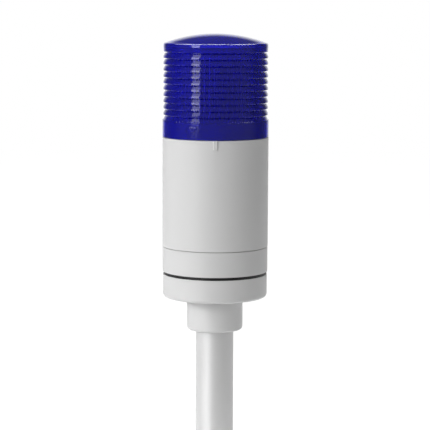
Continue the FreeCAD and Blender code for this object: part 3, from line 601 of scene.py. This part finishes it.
# %% [markdown]
# ## Raised marks
# Two small marks stand proud of the walls: a rib on the housing and an arrowhead on the lens. They
# show how far the lens is twisted. A tool's engraver leaves round edges on them. An outline could
# be pushed out and bevelled, but on a round wall it has to be bent first. So each is a patch of
# the wall that rises by the distance from the mark's edge, like a pillow.

# %% Raise a mark on a round wall
MARK_GRID, SUNK = 0.08, 0.1


def raised_mark(radius, turn, corners, proud, edge, inside, spacing=MARK_GRID):
    """A patch of a wall of this radius, turned from the front by an angle. inside(across, up)
    gives how far a point lies within the mark. The patch rises over a quarter circle of that
    distance, up to the given edge, and lies just under the wall outside the mark."""
    (left, low), (right, high) = corners
    columns, rows = round((right - left) / spacing) + 1, round((high - low) / spacing) + 1
    across, up = np.meshgrid(np.linspace(left, right, columns), np.linspace(low, high, rows))
    depth = inside(across, up)
    share = np.clip(depth / edge, 0, 1)
    rise = np.where(depth > 0, proud * np.sqrt(1 - (1 - share) ** 2), -SUNK)
    angle = np.radians(turn) + across / radius
    reach = radius + rise
    vertices = np.stack([reach * np.sin(angle), -reach * np.cos(angle), up], axis=-1)
    slope = np.gradient(vertices, axis=(0, 1))
    shading = np.cross(slope[1], slope[0])
    shading /= np.linalg.norm(shading, axis=-1, keepdims=True)
    quads = grid_quads(rows, columns)
    return vertices.reshape(-1, 3), shading.reshape(-1, 3), quads.tolist()


print("a mark's grid has a point every", MARK_GRID, "mm")

# %% [markdown]
# ## Index rib and arrowhead
# The rib is an upright bar with a round lower end, right at the top of the housing. The arrowhead
# points down from the flange, to the left of the rib while the lens is home, and comes towards it
# as the lens is twisted off. Both could be drawn as curves. A distance is simpler, because it
# gives the pillow its slope too.

# %% Index rib and arrowhead
RIB_HALF, RIB_LENGTH, RIB_PROUD, HOUSING_RADIUS = 1.15, 5.1, 0.7, 27.9
ARROW_HALF, ARROW_LENGTH, ARROW_PROUD, ARROW_TURN = 2.3, 4.0, 0.4, -25
MARK_EDGE, MARGIN = 0.35, 0.2
RIB_PATCH_HALF, ARROW_PATCH_HALF = 1.3, 2.5

shoulder = lens_low.z - 0.3
rib_low = shoulder - RIB_LENGTH
arrow_low = lens_low.z + 4.55 - ARROW_LENGTH / 2


def rib_depth(across, up):
    """How far inside a bar with a round lower end: its half width, less the distance to the
    line through its middle."""
    below = np.minimum(up - rib_low - RIB_HALF, 0)
    return RIB_HALF - np.hypot(across, below)


def arrow_depth(across, up):
    """How far inside a triangle that points down: the least distance to its three sides."""
    side = (up - arrow_low) * ARROW_HALF - np.abs(across) * ARROW_LENGTH
    side = side / math.hypot(ARROW_HALF, ARROW_LENGTH)
    return np.minimum(side, arrow_low + ARROW_LENGTH - up)


rib_patch = ((-RIB_PATCH_HALF, rib_low - MARGIN), (RIB_PATCH_HALF, shoulder))
arrow_patch = ((-ARROW_PATCH_HALF, arrow_low - MARGIN),
               (ARROW_PATCH_HALF, arrow_low + ARROW_LENGTH + MARGIN))
rib = raised_mark(HOUSING_RADIUS, 0, rib_patch, RIB_PROUD, MARK_EDGE, rib_depth)
arrow = raised_mark(FLANGE_RADIUS, ARROW_TURN, arrow_patch, ARROW_PROUD, MARK_EDGE, arrow_depth)
make_piece("index_rib", rib, "tower", housing_plastic)
make_piece("flange_arrow", arrow, "lens", lens_material)

# %% [markdown]
# ## Black rubber
# The gasket is moulded EPDM rubber. Carbon in it makes it black, and its skin has a low, uneven
# sheen. It shows only as a dark line between the base and the ring, so a flat black might pass, but
# seen close from below it would look like a hole. A little relief gives it a surface.

# %% Gasket material
RUBBER_GRAIN, RUBBER_DEPTH, RUBBER_STRENGTH = 0.8 * MM, 0.02 * MM, 0.4

rubber, tree, shader = new_material(
    "carbon-filled EPDM rubber", Base_Color=linear("#0E0E0F"), Roughness=0.45, IOR=1.5)
place = add_node(tree, "ShaderNodeTexCoord")
noise = add_node(tree, "ShaderNodeTexNoise", {"Scale": 1 / RUBBER_GRAIN},
                 {"Vector": place.outputs["Object"]})
relief(tree, shader, noise, RUBBER_DEPTH, RUBBER_STRENGTH)
dress(rubber, "gasket")

# %% [markdown]
# ## Satin anodised aluminium
# The pole is drawn tube, etched and anodised. The die leaves very fine lines along it, which the
# etch softens, and the clear oxide skin scatters light much as paint does. A pure metal would show
# only what it mirrors and look too dark here, so the shader is metal in part. The lines are noise
# that is drawn out along the tube. The real ones are too fine to show, so they are 0.6 mm wide.

# %% Pole material
LINE_WIDTH, LINE_STRETCH, LINE_DEPTH, LINE_STRENGTH = 0.6 * MM, 0.01, 0.006 * MM, 0.3
POLE_ROUGHNESS = 0.45

aluminium, tree, shader = new_material(
    "satin anodised aluminium", Base_Color=linear("#DBDBDB"), Metallic=0.3,
    Roughness=POLE_ROUGHNESS, Specular_IOR_Level=0.1)
place = add_node(tree, "ShaderNodeTexCoord")
stretched = add_node(tree, "ShaderNodeMapping", {"Scale": (1.0, 1.0, LINE_STRETCH)},
                     {"Vector": place.outputs["Object"]})
lines = add_node(tree, "ShaderNodeTexNoise", {"Scale": 1 / LINE_WIDTH, "Detail": 3.0},
                 {"Vector": stretched.outputs[0]})
patchy_sheen(tree, shader, lines, POLE_ROUGHNESS, 0.05)
relief(tree, shader, lines, LINE_DEPTH, LINE_STRENGTH)
dress(aluminium, "pole")

# %% [markdown]
# ## What is inside
# The light source shows dimly through the lens: a white post with a board on each side. The power
# board and the terminals are out of sight, in the finishes that such parts have. They could stay
# plain, but the lamp may be taken apart, and then each shows what it is made of.

# %% Inner materials
white_plastic = moulded_plastic("white ABS, light source", "#E6E6E2", 0.45)
white_board = moulded_plastic("white solder resist", "#E2E4E0", 0.35)
green_board = moulded_plastic("green solder resist", "#1F5A35", 0.35)
black_plastic = moulded_plastic("black PBT", "#161618", 0.5)
green_plastic = moulded_plastic("green polyamide", "#2F7D3F", 0.45)
sleeve = moulded_plastic("shrunk PVC sleeve", "#1B2233", 0.25)
chip_resin = moulded_plastic("phosphor in silicone over a chip", "#E3CF7A", 0.2, grain=0.3 * MM)

dress(white_plastic, "led_carrier")
dress(white_board, "led_board_1", "led_board_2", "led_board_3", "led_board_4")
dress(green_board, "main_board")
dress(black_plastic, "pin_socket", "choke_coil", "driver_chip")
dress(green_plastic, "terminal_block")
dress(sleeve, "input_capacitor", "filter_capacitor")
dress(chip_resin, "led_chips_1", "led_chips_2", "led_chips_3", "led_chips_4")

# %% [markdown]
# ## Plated metals
# Screws and pins are turned, then plated with zinc or tin. Plating grows as small crystals, which
# make the sheen uneven. Scratches could be drawn as well, but these parts are new. The real
# crystals are too fine to show, so their spots are drawn at 0.4 mm.

# %% Plated metals
CRYSTAL = 0.4 * MM


def plated_metal(name, colour, roughness):
    """Bright plating on a turned part, with a sheen that is uneven from spot to spot."""
    material, tree, shader = new_material(
        name, Base_Color=linear(colour), Metallic=1.0, Roughness=roughness)
    place = add_node(tree, "ShaderNodeTexCoord")
    noise = add_node(tree, "ShaderNodeTexNoise", {"Scale": 1 / CRYSTAL, "Detail": 1.0},
                     {"Vector": place.outputs["Object"]})
    patchy_sheen(tree, shader, noise, roughness, 0.08)
    return material


steel = plated_metal("zinc-plated steel", "#BFC1C4", 0.3)
tin = plated_metal("tinned brass", "#D3CDBE", 0.28)
dress(steel, "base_screws", "pole_set_screw", "terminal_screws")
dress(tin, "plug_pins")
